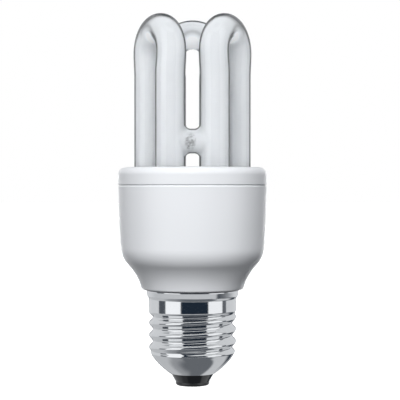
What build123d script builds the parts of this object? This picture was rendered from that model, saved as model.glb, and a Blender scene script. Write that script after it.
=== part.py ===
"""Compact fluorescent lamp with three bent glass tubes on a 27 mm screw cap.

Millimetres. +Z runs from the cap to the tubes, and the origin is the middle of the
centre contact's flat underside. -Y is the side with the joined pair of legs.
"""
from build123d import *
from math import cos, degrees, pi, radians, sin, sqrt
import os

# Centre contact and black glass insulator at the foot of the cap
contact_radius = 5.0
contact_height = 1.05
contact_edge_round = 0.6
contact_hole_radius = 0.8
insulator_drop = 2.5
insulator_foot_radius = 5.0
insulator_head_radius = 6.6
insulator_rise = 3.2
insulator_bore_radius = 1.1

# Screw shell, rolled from thin sheet
shell_wall = 0.3
shell_foot_margin = 0.15
cone_height = 5.7
cone_head_step = 0.75
cone_bulge = 0.4
thread_length = 13.3
thread_pitch = 3.629
thread_crest_radius = 13.1
thread_depth = 1.15
thread_crest_height = 15.0
thread_runout_turns = 0.55
thread_slices_per_turn = 12
band_length = 3.4
rim_flare = 0.85
rim_height = 2.9

# Lower housing, moulded
housing_height = 31.05
housing_margin = 4.85
housing_wall = 1.6
shoulder_taper = 0.72
shoulder_drop = 18.6
waist_taper = 2.95
waist_drop = 23.7
neck_step = 1.35
neck_round = 0.6
wall_bulge = 0.08
seam_chamfer = 0.35
skirt_wall = 1.4
skirt_reach = 14.0
skirt_step = 6.0
skirt_gap = 0.25

# Tube holder, the upper moulding
holder_height = 5.4
holder_plate = 1.8
holder_edge_round = 2.2
holder_skirt_depth = 4.0
holder_skirt_wall = 1.3
moulding_gap = 0.1
leg_hole_gap = 0.25
snap_count = 4
snap_width = 5.4
snap_height = 1.0
snap_rise = 0.45
snap_level = 2.3
post_count = 3
post_radius = 1.5

# Glass tubes
tube_radius = 4.45
tube_count = 3
leg_circle = 13.0
tube_reach = 45.4
tube_sink = 9.4
bend_spread = 0.6
bend_thinning = 0.05
spread_length = 6.9
spread_slices = 6
bridge_radius = 3.6
bridge_level = 7.5
bridge_fillet = 1.45
exhaust_tip_radius = 0.9
exhaust_tip_length = 2.4
electrode_spread = 1.7
cement_reach = 1.7
cement_depth = 2.2

# Circuit board and the wires on it
board_drop = 9.8
board_thickness = 1.6
board_gap = 0.3
rib_count = 4
rib_width = 1.2
rib_depth = 2.4
rib_height = 6.5
lead_radius = 0.3
lead_hole_gap = 0.12
lead_stub = 0.9
solder_radius = 0.85
solder_height = 0.6
body_standoff = 1.0
part_gap = 0.8
wire_post_side = 0.64
wire_post_height = 4.4
wire_post_inset = 2.4
wire_post_angle = 8.0
wrap_turns = 3
wrap_drop = 1.2
wrap_pitch_in_radii = 1.7
electrode_wire_radius = 0.22
electrode_wire_bend = 0.7
supply_wire_radius = 0.6
supply_wire_bend = 2.0
contact_wire_lift = 1.5

# Choke with two E-shaped ferrite halves
core_length = 12.8
core_thickness = 6.0
core_back = 2.4
core_outer_leg = 2.2
core_middle_leg = 3.2
core_air_gap = 0.2
bobbin_wall = 0.5
bobbin_flange = 0.6
bobbin_gap = 0.12
winding_build = 1.55
winding_round_share = 0.8
tape_width = 4.8
tape_thickness = 0.15

# Round and boxed parts below the board
can_radius = 5.0
can_length = 16.0
can_drop = 11.5
can_groove = 0.35
bung_radius = 4.2
bung_depth = 1.2
can_lead_spread = 2.5
diode_radius = 1.35
diode_length = 5.2
diode_count = 4
resistor_radius = 1.15
resistor_length = 6.2
fuse_radius = 1.6
fuse_length = 9.0
axial_pitch = 2.7
axial_round_share = 0.3
film_round = 0.9
resonance_size = (4.5, 9.0, 9.5)
coupling_size = (3.5, 6.5, 7.0)
filter_size = (9.0, 4.2, 8.0)
transistor_radius = 2.3
transistor_flat = 1.3
transistor_height = 4.6
transistor_lead_pitch = 2.0
ring_radius = 3.4
ring_section = 2.2
ring_depth = 3.0
ring_wire = 0.5
ring_gap = 0.15
ring_turn_share = 0.85
ring_side_angle = 25.0
drum_radius = 3.0
drum_core_radius = 1.5
drum_coil_radius = 2.6
drum_height = 7.5
drum_flange = 0.9
thermistor_radius = 3.0
thermistor_thickness = 2.2
thermistor_round_share = 0.4

# Where the parts that stand near the board's edge go, as circles and angles
resistor_circle = 13.6
resistor_turns = (42, 60)
fuse_circle = 13.9
fuse_angle = 28.0
fuse_turn = -62.0
drum_circle = 13.0
drum_angle = -45.0
thermistor_inset = 3.78
thermistor_angle = 54.0

# Heights that follow from the sizes above
shell_foot = contact_height + insulator_drop
thread_foot = shell_foot + cone_height
thread_head = thread_foot + thread_length
band_head = thread_head + band_length
shell_head = band_head + rim_height
seam_height = shell_head + housing_height
holder_top = seam_height + holder_height
plate_under = holder_top - holder_plate
tube_top = holder_top + tube_reach
leg_foot = holder_top - tube_sink
board_top = seam_height - board_drop
board_under = board_top - board_thickness
body_top = board_under - body_standoff
insulator_top = shell_foot + insulator_rise

# Radii and other sizes that follow
shell_foot_radius = insulator_head_radius + shell_foot_margin
cone_head_radius = thread_crest_radius - cone_head_step
rim_radius = thread_crest_radius + rim_flare
housing_radius = leg_circle + tube_radius + housing_margin
shoulder_radius = housing_radius - shoulder_taper
waist_radius = housing_radius - waist_taper
neck_radius = rim_radius + neck_step
cavity_radius = housing_radius - housing_wall
holder_skirt_radius = cavity_radius - moulding_gap
holder_inner_radius = holder_skirt_radius - holder_skirt_wall
band_inner_radius = thread_crest_radius - shell_wall
skirt_radius = thread_crest_radius - thread_depth - shell_wall - skirt_gap
post_circle = holder_inner_radius - post_radius - moulding_gap
leg_spacing = 2 * leg_circle * sin(pi / (2 * tube_count))
board_radius = shoulder_radius - housing_wall - board_gap
thermistor_circle = board_radius - thermistor_inset
window_height = bobbin_wall + 2 * bobbin_gap + winding_build
core_height = 2 * (core_outer_leg + window_height) + core_middle_leg

lead_places = []


def save(name, shape):
    """Write one sub-part to its own STEP file."""
    export_step(shape, f"parts/{name}.step")


def joined(shapes):
    """Keep separate solids together as one group."""
    solids = []
    for shape in shapes:
        solids += shape.solids()
    return Compound(children=solids)


def turned(points):
    """Revolve an outline of (radius, height) points about the lamp's axis."""
    outline = Polyline(*[(r, 0, z) for r, z in points], close=True)
    return revolve(make_face(outline), Axis.Z)


def polar(radius, angle, height=0):
    return (radius * cos(radians(angle)), radius * sin(radians(angle)), height)


def tube_between(radius, *points, bend):
    """A round wire along straight runs with rounded corners."""
    path = FilletPolyline(*points, radius=bend)
    start = Plane(origin=path @ 0, z_dir=path % 0)
    return sweep(start * Circle(radius), path)


# The screw cap

def thread_slice(height, inset):
    """A cut across the rolled thread: a circle whose centre circles the axis."""
    turns_left = min(height - thread_foot, thread_head - height) / thread_pitch
    share = min(1, max(0, turns_left / thread_runout_turns))
    throw = thread_depth / 2 * share * share * (3 - 2 * share)
    below = max(0, 1 - (height - thread_foot) / (thread_pitch * thread_runout_turns))
    crest = thread_crest_radius - (thread_crest_radius - cone_head_radius) * below ** 2
    angle = 2 * pi * (height - thread_crest_height) / thread_pitch + pi
    centre = Pos(throw * cos(angle), throw * sin(angle), height)
    return centre * Circle(crest - throw - inset)


def thread_core(inset):
    steps = round(thread_slices_per_turn * thread_length / thread_pitch)
    heights = [thread_foot + thread_length * k / steps for k in range(steps + 1)]
    return loft([thread_slice(height, inset) for height in heights])


def shell_form(inset):
    """The cap's outer form, or with an inset its inner one."""
    foot = (shell_foot_radius - inset, 0, shell_foot)
    head = (cone_head_radius - inset, 0, thread_foot)
    middle = (Vector(*foot) + Vector(*head)) / 2
    flank = ThreePointArc(foot, middle + Vector(cone_bulge, 0, -cone_bulge) / sqrt(2), head)
    close = Polyline(head, (0, 0, thread_foot), (0, 0, shell_foot), foot)
    cone = revolve(make_face([flank, close]), Axis.Z)
    band_radius = thread_crest_radius - inset
    lip_radius = rim_radius - inset
    band = turned([
        (0, thread_head), (band_radius, thread_head), (band_radius, band_head),
        (lip_radius, band_head + rim_flare), (lip_radius, shell_head), (0, shell_head)])
    return cone + thread_core(inset) + band


def make_screw_shell():
    shell = shell_form(0) - shell_form(shell_wall)
    foot = turned([
        (0, shell_foot), (insulator_head_radius - shell_wall, shell_foot),
        (insulator_head_radius - shell_wall, shell_foot + shell_wall), (0, shell_foot)])
    return shell - foot


def make_insulator():
    """Black glass cone fused into the shell's foot, with a bore for the wire."""
    rise = insulator_rise * (cone_head_radius - shell_foot_radius) / cone_height
    inner_foot = shell_foot_radius - shell_wall
    body = turned([
        (insulator_bore_radius, contact_height), (insulator_foot_radius, contact_height),
        (inner_foot, shell_foot), (inner_foot + rise, insulator_top),
        (insulator_bore_radius, insulator_top)])
    return body


def make_contact():
    disc = Cylinder(contact_radius, contact_height,
                    align=(Align.CENTER, Align.CENTER, Align.MIN))
    disc = fillet(disc.edges().sort_by(Axis.Z)[0], contact_edge_round)
    return disc - Cylinder(contact_hole_radius, 3 * contact_height)


def make_contact_solder():
    return Cylinder(contact_hole_radius, contact_height,
                    align=(Align.CENTER, Align.CENTER, Align.MIN))


# The mouldings

def housing_side():
    """Wall, shoulder and concave waist as three arcs that run into each other."""
    top = (housing_radius, 0, seam_height)
    shoulder = (shoulder_radius, 0, seam_height - shoulder_drop)
    middle = ((housing_radius + shoulder_radius) / 2 + wall_bulge, 0,
              seam_height - shoulder_drop / 2)
    waist = (waist_radius, 0, seam_height - waist_drop)
    neck = (neck_radius, 0, shell_head)
    wall = ThreePointArc(top, middle, shoulder)
    bend = TangentArc(shoulder, waist, tangent=wall % 1)
    sweep_in = TangentArc(waist, neck, tangent=bend % 1)
    return wall, bend, sweep_in


def housing_solid():
    wall, bend, sweep_in = housing_side()
    close = Polyline(sweep_in @ 1, (0, 0, shell_head), (0, 0, seam_height), wall @ 0)
    return revolve(make_face([wall, bend, sweep_in, close]), Axis.Z)


def inner_arc(arc):
    """The same arc moved in by the wall's thickness."""
    points = []
    for share in (0, 0.5, 1):
        along = arc % share
        points.append(arc @ share + Vector(along.Z, 0, -along.X) * housing_wall)
    return ThreePointArc(*points)


def housing_cavity():
    """The space inside, open at the rim and closed by a floor above the cap."""
    arcs = [inner_arc(arc) for arc in housing_side()]
    rim = arcs[0] @ 0
    neck = arcs[-1] @ 1
    above = seam_height + housing_wall
    close = Polyline(neck, (0, 0, neck.Z), (0, 0, above), (rim.X, 0, above), rim)
    cavity = revolve(make_face([*arcs, close]), Axis.Z)
    floor = Pos(0, 0, shell_head + housing_wall)
    return cavity & floor * Cylinder(
        2 * housing_radius, 2 * housing_height, align=(Align.CENTER, Align.CENTER, Align.MIN))


def make_lower_housing():
    body = housing_solid()
    edges = body.edges().filter_by(GeomType.CIRCLE).sort_by(Axis.Z)
    body = fillet(edges[0], neck_round)
    edge = body.edges().filter_by(GeomType.CIRCLE).sort_by(Axis.Z)[-1]
    body = chamfer(edge, seam_chamfer)
    plug_radius = band_inner_radius - moulding_gap
    step = shell_head - skirt_step
    foot = shell_head - skirt_reach
    skirt = turned([
        (0, foot), (skirt_radius, foot), (skirt_radius, step), (plug_radius, step),
        (plug_radius, shell_head), (0, shell_head)])
    bore = Pos(0, 0, foot) * Cylinder(
        skirt_radius - skirt_wall, skirt_reach + 2 * housing_wall,
        align=(Align.CENTER, Align.CENTER, Align.MIN))
    body = body + skirt - housing_cavity() - bore
    for k in range(rib_count):
        body += board_rib(360 * (k + 0.5) / rib_count)
    for k in range(snap_count):
        body -= snap_block(360 * k / snap_count, moulding_gap)
    return body


def board_rib(angle):
    """An upright rib on the wall that the board's edge stands on."""
    reach = rib_depth + housing_wall / 2
    centre = shoulder_radius - housing_wall / 2 - reach / 2
    rib = Box(reach, rib_width, rib_height, align=(Align.CENTER, Align.CENTER, Align.MAX))
    return Rot(0, 0, angle) * Pos(centre, 0, board_under) * rib


def snap_block(angle, gap):
    """A catch on the holder's skirt, or with a gap the pocket that takes it."""
    reach = snap_rise + holder_skirt_wall / 2 + gap
    centre = holder_skirt_radius + snap_rise + gap - reach / 2
    block = Box(reach, snap_width + 2 * gap, snap_height + 2 * gap)
    return Rot(0, 0, angle) * Pos(centre, 0, seam_height - snap_level) * block


def make_tube_holder():
    skirt_foot = seam_height - holder_skirt_depth
    body = turned([
        (0, plate_under), (0, holder_top), (housing_radius, holder_top),
        (housing_radius, seam_height), (holder_skirt_radius, seam_height),
        (holder_skirt_radius, skirt_foot), (holder_inner_radius, skirt_foot),
        (holder_inner_radius, plate_under)])
    rims = body.edges().filter_by(GeomType.CIRCLE)
    rims = rims.filter_by(lambda edge: abs(edge.radius - housing_radius) < 0.01)
    body = fillet(rims.sort_by(Axis.Z)[-1], holder_edge_round)
    rims = body.edges().filter_by(GeomType.CIRCLE)
    rims = rims.filter_by(lambda edge: abs(edge.radius - housing_radius) < 0.01)
    body = chamfer(rims.sort_by(Axis.Z)[0], seam_chamfer)
    for k in range(snap_count):
        body += snap_block(360 * k / snap_count, 0)
    for k in range(post_count):
        x, y, z = polar(post_circle, 360 * (k + 0.25) / post_count, board_top)
        body += Pos(x, y, z) * Cylinder(
            post_radius, plate_under - board_top + holder_plate / 2,
            align=(Align.CENTER, Align.CENTER, Align.MIN))
    for x, y in leg_places():
        body -= Pos(x, y, plate_under) * Cylinder(tube_radius + leg_hole_gap, 4 * holder_plate)
    return body


# The glass

def leg_angles():
    """Angles of the legs, anticlockwise, two for each bent tube."""
    step = 180 / tube_count
    return [step * (k - 1) for k in range(2 * tube_count)]


def leg_places():
    return [polar(leg_circle, angle)[:2] for angle in leg_angles()]


def bent_tube():
    """One tube bent to a U in the XZ plane, its legs a little spread below the bend."""
    half = leg_spacing / 2
    bend_radius = tube_radius - bend_thinning
    bend_circle = half + bend_spread
    spring = tube_top - bend_circle - bend_radius
    arc = CenterArc((0, 0, 0), bend_circle, 0, 180)
    arc = Plane.XZ * arc
    bow = sweep(Plane(origin=arc @ 0, z_dir=arc % 0) * Circle(bend_radius), arc)
    body = Pos(0, 0, spring) * bow
    for side in (-1, 1):
        straight_top = spring - spread_length
        foot = leg_foot + tube_radius
        leg = Pos(side * half, 0, foot) * Cylinder(
            tube_radius, straight_top - foot, align=(Align.CENTER, Align.CENTER, Align.MIN))
        body += leg + Pos(side * half, 0, foot) * Sphere(tube_radius)
        body += spread(side, half, straight_top, spring)
    return body


def spread(side, half, low, high):
    """The stretch where a leg eases out to the wider bend."""
    slices = []
    for k in range(spread_slices + 1):
        share = k / spread_slices
        eased = share * share * (3 - 2 * share)
        place = Pos(side * (half + bend_spread * eased), 0, low + (high - low) * share)
        slices.append(place * Circle(tube_radius - bend_thinning * eased))
    return loft(slices)


def bridge(near, far):
    """A short cross tube with rounded roots between two legs."""
    (x0, y0), (x1, y1) = near, far
    length = sqrt((x1 - x0) ** 2 + (y1 - y0) ** 2)
    stub = 2 * (bridge_radius + 2 * bridge_fillet)
    pair = Cylinder(tube_radius, stub)
    body = Pos(-length / 2, 0, 0) * pair + Pos(length / 2, 0, 0) * pair
    body += Rot(0, 90, 0) * Cylinder(bridge_radius, length)
    flat = (GeomType.CIRCLE, GeomType.LINE)
    roots = [edge for edge in body.edges() if edge.geom_type not in flat]
    body = fillet(roots, bridge_fillet)
    place = Location(Plane(
        origin=((x0 + x1) / 2, (y0 + y1) / 2, holder_top + bridge_level),
        x_dir=(x1 - x0, y1 - y0, 0), z_dir=(0, 0, 1)))
    return place * body


def electrode_legs():
    """The two end legs, either side of the one gap that has no bridge."""
    return leg_places()[1:3]


def make_discharge_tube():
    places = leg_places()
    body = None
    for k in range(tube_count):
        (x0, y0), (x1, y1) = places[2 * k], places[2 * k + 1]
        frame = Location(Plane(origin=((x0 + x1) / 2, (y0 + y1) / 2, 0),
                               x_dir=(x1 - x0, y1 - y0, 0), z_dir=(0, 0, 1)))
        piece = frame * bent_tube()
        body = piece if body is None else body + piece
    for k in range(1, tube_count):
        body += bridge(places[2 * k + 1], places[(2 * k + 2) % (2 * tube_count)])
    for x, y in electrode_legs():
        tip = Pos(x, y, leg_foot - exhaust_tip_length) * Cylinder(
            exhaust_tip_radius, exhaust_tip_length + tube_radius,
            align=(Align.CENTER, Align.CENTER, Align.MIN))
        tip += Pos(x, y, leg_foot - exhaust_tip_length) * Sphere(exhaust_tip_radius)
        body += tip
    return body


def make_tube_cement():
    """A collar of cement below the plate round each leg."""
    collar = turned([
        (tube_radius, plate_under), (tube_radius + cement_reach, plate_under),
        (tube_radius, plate_under - cement_depth)])
    return joined([Pos(x, y, 0) * collar for x, y in leg_places()])


# The board and its wires

def wire_posts():
    """Places of the four posts, a pair for each end leg."""
    radius = cavity_radius - wire_post_inset
    return [polar(radius, angle + turn)[:2] for angle in leg_angles()[1:3]
            for turn in (-wire_post_angle, wire_post_angle)]


def make_wire_posts():
    pins = []
    for x, y in wire_posts():
        height = wire_post_height + board_thickness + solder_height
        pin = Box(wire_post_side, wire_post_side, height,
                  align=(Align.CENTER, Align.CENTER, Align.MAX))
        pins.append(Pos(x, y, board_top + wire_post_height) * pin)
    return joined(pins)


def lead(x, y, low):
    """A straight lead from a part's top up through the board."""
    lead_places.append((x, y))
    return Pos(x, y, low) * Cylinder(
        lead_radius, board_top + lead_stub - low,
        align=(Align.CENTER, Align.CENTER, Align.MIN))


def make_board():
    board = Pos(0, 0, board_under) * Cylinder(
        board_radius, board_thickness, align=(Align.CENTER, Align.CENTER, Align.MIN))
    hole = Cylinder(lead_radius + lead_hole_gap, 4 * board_thickness)
    for x, y in lead_places:
        board -= Pos(x, y, board_top) * hole
    side = wire_post_side + 2 * lead_hole_gap
    for x, y in wire_posts():
        board -= Pos(x, y, board_top) * Box(side, side, 4 * board_thickness)
    wire_hole = Cylinder(supply_wire_radius + lead_hole_gap, 4 * board_thickness)
    for x, y in supply_places():
        board -= Pos(x, y, board_top) * wire_hole
    return board


def solder_cone(x, y, core):
    """A bead of solder round a lead or post on the board's top."""
    bead = Pos(x, y, board_top) * Cone(
        solder_radius, solder_radius / 2, solder_height,
        align=(Align.CENTER, Align.CENTER, Align.MIN))
    return bead - core


def make_solder():
    through = 4 * solder_height
    beads = []
    for x, y in lead_places:
        core = Pos(x, y, board_top) * Cylinder(lead_radius, through)
        beads.append(solder_cone(x, y, core))
    for x, y in wire_posts():
        core = Pos(x, y, board_top) * Box(wire_post_side, wire_post_side, through)
        beads.append(solder_cone(x, y, core))
    return joined(beads)


def make_electrode_wires(glass):
    """Two wires from each end leg, wound round their posts."""
    posts = wire_posts()
    wires = []
    for x, y in electrode_legs():
        wires += [leg_wire(x, y, posts, side, glass) for side in (-1, 1)]
    return joined(wires)


def leg_wire(x, y, posts, side, glass):
    reach = sqrt(x * x + y * y)
    across = (-y / reach * side, x / reach * side)
    start_x = x + across[0] * electrode_spread
    start_y = y + across[1] * electrode_spread
    post = min(posts, key=lambda p: (p[0] - start_x) ** 2 + (p[1] - start_y) ** 2)
    wrap_radius = wire_post_side / sqrt(2) + electrode_wire_radius
    level = board_top + wire_post_height - wrap_drop
    gap_x, gap_y = post[0] - start_x, post[1] - start_y
    run = sqrt(gap_x ** 2 + gap_y ** 2)
    end_x = post[0] - gap_x / run * wrap_radius
    end_y = post[1] - gap_y / run * wrap_radius
    wire = tube_between(
        electrode_wire_radius, (start_x, start_y, leg_foot + tube_radius),
        (start_x, start_y, level), (end_x, end_y, level),
        bend=electrode_wire_bend)
    wire -= glass
    for turn in range(wrap_turns):
        height = level - turn * wrap_pitch_in_radii * electrode_wire_radius
        wire += Pos(post[0], post[1], height) * Torus(wrap_radius, electrode_wire_radius)
    return wire


def supply_places():
    """Where the two supply wires leave the board, either side of the can."""
    reach = (can_radius + part_gap + supply_wire_radius) / sqrt(2)
    return [(reach, reach), (-reach, reach)]


def make_contact_wire():
    """Down beside the can, in to the axis and through the insulator's bore."""
    x, y = supply_places()[0]
    can_foot = body_top - can_drop - can_length
    turn = can_foot - 2 * part_gap - supply_wire_radius
    return tube_between(
        supply_wire_radius, (x, y, board_top), (x, y, turn),
        (0, 0, insulator_top + contact_wire_lift), (0, 0, contact_height),
        bend=supply_wire_bend)


def make_shell_wire():
    """Down beside the can, below the skirt and out to the shell's wall."""
    x, y = supply_places()[1]
    level = shell_head - skirt_reach - 2 * supply_wire_radius
    reach = sqrt(x * x + y * y)
    far = thread_crest_radius
    wire = tube_between(
        supply_wire_radius, (x, y, board_top), (x, y, level),
        (x / reach * far, y / reach * far, level), bend=supply_wire_bend)
    return wire & shell_form(shell_wall).fuse(
        Pos(0, 0, shell_head) * Cylinder(
            thread_crest_radius, 2 * housing_height,
            align=(Align.CENTER, Align.CENTER, Align.MIN)))


# The choke

def choke_place():
    half_width = core_thickness / 2 + bobbin_gap + bobbin_wall + winding_build
    x = -(can_radius + part_gap + half_width)
    return Pos(x, 0, body_top - core_height / 2)


def core_half(side):
    """One E-shaped half: a back and three legs."""
    half = core_length / 2
    front = (Align.CENTER, Align.MAX, Align.CENTER)
    block = Box(core_thickness, half, core_height, align=front)
    reach = half - core_back
    for up in (-1, 1):
        middle = up * (core_middle_leg + window_height) / 2
        block -= Pos(0, 0, middle) * Box(
            2 * core_thickness, reach, window_height, align=front)
    block -= Box(2 * core_thickness, core_air_gap / 2, core_middle_leg, align=front)
    return block if side < 0 else Rot(0, 0, 180) * block


def bobbin_tube_size():
    width = core_thickness + 2 * (bobbin_gap + bobbin_wall)
    height = core_middle_leg + 2 * (bobbin_gap + bobbin_wall)
    return width, height


def make_bobbin():
    window_length = core_length - 2 * core_back - 2 * bobbin_gap
    width, height = bobbin_tube_size()
    tube = Box(width, window_length, height)
    flange_height = core_height - 2 * core_outer_leg - 2 * bobbin_gap
    flange_width = core_thickness + 2 * (bobbin_gap + bobbin_wall + winding_build)
    ear = bobbin_wall + winding_build
    for side in (-1, 1):
        y = side * (window_length - bobbin_flange) / 2
        tube += Pos(0, y, 0) * Box(flange_width, bobbin_flange, flange_height)
        for across in (-1, 1):
            x = across * (flange_width - ear) / 2
            tube += Pos(x, y, 0) * Box(
                ear, bobbin_flange, core_height / 2,
                align=(Align.CENTER, Align.CENTER, Align.MIN))
    tube -= Box(core_thickness + 2 * bobbin_gap, 2 * core_length,
                core_middle_leg + 2 * bobbin_gap)
    return choke_place() * tube


def choke_pins():
    """Pins from the bobbin's four ears through the board."""
    place = choke_place().position
    flange_width = core_thickness + 2 * (bobbin_gap + bobbin_wall + winding_build)
    x = (flange_width - bobbin_wall - winding_build) / 2
    y = (core_length - 2 * core_back - 2 * bobbin_gap - bobbin_flange) / 2
    return [lead(place.X + across * x, place.Y + side * y, body_top)
            for across in (-1, 1) for side in (-1, 1)]


def make_choke_winding():
    length = core_length - 2 * core_back - 2 * bobbin_gap - 2 * bobbin_flange
    width, height = bobbin_tube_size()
    coil = Box(width + 2 * winding_build, length, height + 2 * winding_build)
    coil = fillet(coil.edges().filter_by(Axis.Y), winding_round_share * winding_build)
    coil -= Box(width, 2 * length, height)
    return choke_place() * coil


def make_choke_tape():
    wrap = Box(tape_width, core_length + 2 * tape_thickness, core_height + 2 * tape_thickness)
    return choke_place() * (wrap - Box(core_thickness, core_length, core_height))


# Other parts on the board

def can_top():
    return body_top - can_drop


def make_can():
    """Aluminium can with a rolled groove near its sealed mouth."""
    can = Pos(0, 0, can_top()) * Cylinder(
        can_radius, can_length, align=(Align.CENTER, Align.CENTER, Align.MAX))
    can = fillet(can.edges().filter_by(GeomType.CIRCLE), can_groove)
    groove = Pos(0, 0, can_top() - 2 * bung_depth) * Torus(
        can_radius + can_groove, 2 * can_groove)
    mouth = Pos(0, 0, can_top()) * Cylinder(bung_radius, 2 * bung_depth)
    return can - groove - mouth


def make_bung():
    return Pos(0, 0, can_top()) * Cylinder(
        bung_radius, bung_depth, align=(Align.CENTER, Align.CENTER, Align.MAX))


def can_leads():
    return [lead(side * can_lead_spread, 0, can_top()) for side in (-1, 1)]


def upright_axial(place, angle, radius, length):
    """A part stood on end: its body, a straight lead and one looped back up."""
    x, y = place
    body = Pos(x, y, body_top) * Cylinder(
        radius, length, align=(Align.CENTER, Align.CENTER, Align.MAX))
    body = fillet(body.edges().filter_by(GeomType.CIRCLE), axial_round_share * radius)
    foot = body_top - length
    step_x, step_y, _ = polar(axial_pitch, angle)
    back = (x + step_x, y + step_y)
    dip = foot - 3 * lead_radius
    loop = tube_between(
        lead_radius, (x, y, foot), (x, y, dip), (*back, dip), (*back, board_top + lead_stub),
        bend=2 * lead_radius)
    lead_places.append(back)
    return body, [lead(x, y, body_top), loop]


def diode_places():
    pitch = 2 * diode_radius + part_gap
    y = can_radius + 2 * part_gap + 2 * diode_radius
    return [((k - (diode_count - 1) / 2) * pitch, y) for k in range(diode_count)]


def save_diodes():
    """The bridge rectifier: four diodes stood in a row behind the can."""
    leads = []
    for k, place in enumerate(diode_places()):
        body, pair = upright_axial(place, 90, diode_radius, diode_length)
        save(f"diode_{k + 1}", body)
        leads += pair
    save("diode_leads", joined(leads))


def save_resistors():
    """Two starting resistors behind the choke and two base resistors before it."""
    leads = []
    for name, side in (("start_resistors", 1), ("base_resistors", -1)):
        bodies = []
        for turn in resistor_turns:
            angle = side * (180 - turn)
            x, y, _ = polar(resistor_circle, angle)
            body, pair = upright_axial(
                (x, y), angle, resistor_radius, resistor_length)
            bodies.append(body)
            leads += pair
        save(name, joined(bodies))
    save("resistor_leads", joined(leads))


def save_fuse():
    x, y, _ = polar(fuse_circle, fuse_angle)
    body, leads = upright_axial((x, y), fuse_turn, fuse_radius, fuse_length)
    save("fuse_resistor", body)
    save("fuse_leads", joined(leads))


def film_capacitor(x, y, size):
    """A dipped block on two leads along its longer side."""
    width, depth, height = size
    block = Box(width, depth, height, align=(Align.CENTER, Align.CENTER, Align.MAX))
    block = fillet(block.edges(), film_round)
    spread = max(width, depth) / 2 - film_round - 2 * lead_radius
    across = (0, spread) if depth > width else (spread, 0)
    leads = [lead(x + side * across[0], y + side * across[1], body_top) for side in (-1, 1)]
    return Pos(x, y, body_top) * block, leads


def save_film_capacitors():
    resonance_x = can_radius + part_gap + resonance_size[0] / 2
    coupling_x = resonance_x + (resonance_size[0] + coupling_size[0]) / 2 + part_gap
    diode_back = diode_places()[0][1] + axial_pitch + lead_radius
    filter_y = diode_back + part_gap + filter_size[1] / 2
    leads = []
    for name, x, y, size in (("resonance_capacitor", resonance_x, 0, resonance_size),
                             ("coupling_capacitor", coupling_x, 0, coupling_size),
                             ("filter_capacitor", 0, filter_y, filter_size)):
        body, pair = film_capacitor(x, y, size)
        save(name, body)
        leads += pair
    save("capacitor_leads", joined(leads))


def transistor_row():
    return -(can_radius + part_gap + transistor_radius)


def save_transistors():
    """The two switching transistors: round backs, flat faces to the front."""
    leads = []
    y = transistor_row()
    for name, side in (("transistor_left", -1), ("transistor_right", 1)):
        x = side * (transistor_radius + part_gap / 2)
        body = Pos(x, y, body_top) * Cylinder(
            transistor_radius, transistor_height,
            align=(Align.CENTER, Align.CENTER, Align.MAX))
        body -= Pos(x, y - transistor_flat, body_top) * Box(
            3 * transistor_radius, transistor_radius, 3 * transistor_height,
            align=(Align.CENTER, Align.MAX, Align.CENTER))
        save(name, body)
        leads += [lead(x + k * transistor_lead_pitch, y, body_top) for k in (-1, 0, 1)]
    save("transistor_leads", joined(leads))


def ring_place():
    """The ring core's centre: it stands on edge in front of the transistors."""
    y = transistor_row() - transistor_radius - part_gap - ring_depth / 2 - ring_wire
    z = body_top - ring_radius - ring_section / 2 - ring_wire
    return Pos(0, y, z)


def make_ring_core():
    ring = Cylinder(ring_radius + ring_section / 2, ring_depth)
    ring -= Cylinder(ring_radius - ring_section / 2, 2 * ring_depth)
    return ring_place() * Rot(90, 0, 0) * ring


def ring_turn(angle):
    """One square turn of wire round the ring's section."""
    outer = Box(ring_section + 2 * (ring_gap + ring_wire), ring_depth + 2 * ring_wire, ring_wire)
    inner = Box(ring_section + 2 * ring_gap, ring_depth, 2 * ring_wire)
    return Rot(0, -angle, 0) * Pos(ring_radius, 0, 0) * (outer - inner)


def make_ring_windings():
    """Three windings on the ring, each with a pair of leads to the board."""
    centre = ring_place().position
    side = ring_depth / 2 + ring_wire / 2
    far = ring_radius + ring_section / 2 + lead_radius + ring_gap
    step = degrees(ring_turn_share * ring_wire / (ring_radius - ring_section / 2 - ring_gap))
    spread = far * sin(radians(step))
    windings = []
    for start, places in ((90, ((-spread, 1), (spread, -1))),
                          (-ring_side_angle, ((far, 1), (far, -1))),
                          (180 + ring_side_angle, ((-far, 1), (-far, -1)))):
        turns = [ring_turn(start + k * step) for k in (-1, 0, 1)]
        body = ring_place() * (turns[0] + turns[1] + turns[2])
        low = centre.Z + far * sin(radians(start)) - ring_wire / 2
        for x, front in places:
            body += lead(x, centre.Y + front * side, low)
        windings.append(body)
    return joined(windings)


def save_filter_choke():
    """A small drum core with its coil and two leads."""
    x, y, _ = polar(drum_circle, drum_angle)
    place = Pos(x, y, body_top)
    hang = (Align.CENTER, Align.CENTER, Align.MAX)
    coil_length = drum_height - 2 * drum_flange
    drum = Cylinder(drum_radius, drum_height, align=hang)
    groove = Pos(0, 0, -drum_flange) * Cylinder(2 * drum_radius, coil_length, align=hang)
    groove -= Cylinder(drum_core_radius, 3 * drum_height)
    save("filter_choke_core", place * (drum - groove))
    coil = Cylinder(drum_coil_radius, coil_length, align=hang)
    coil -= Cylinder(drum_core_radius, 3 * drum_height)
    save("filter_choke_winding", place * Pos(0, 0, -drum_flange) * coil)
    spread = drum_radius - 2 * lead_radius
    leads = [lead(x + side * spread, y, body_top) for side in (-1, 1)]
    save("filter_choke_leads", joined(leads))


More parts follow.
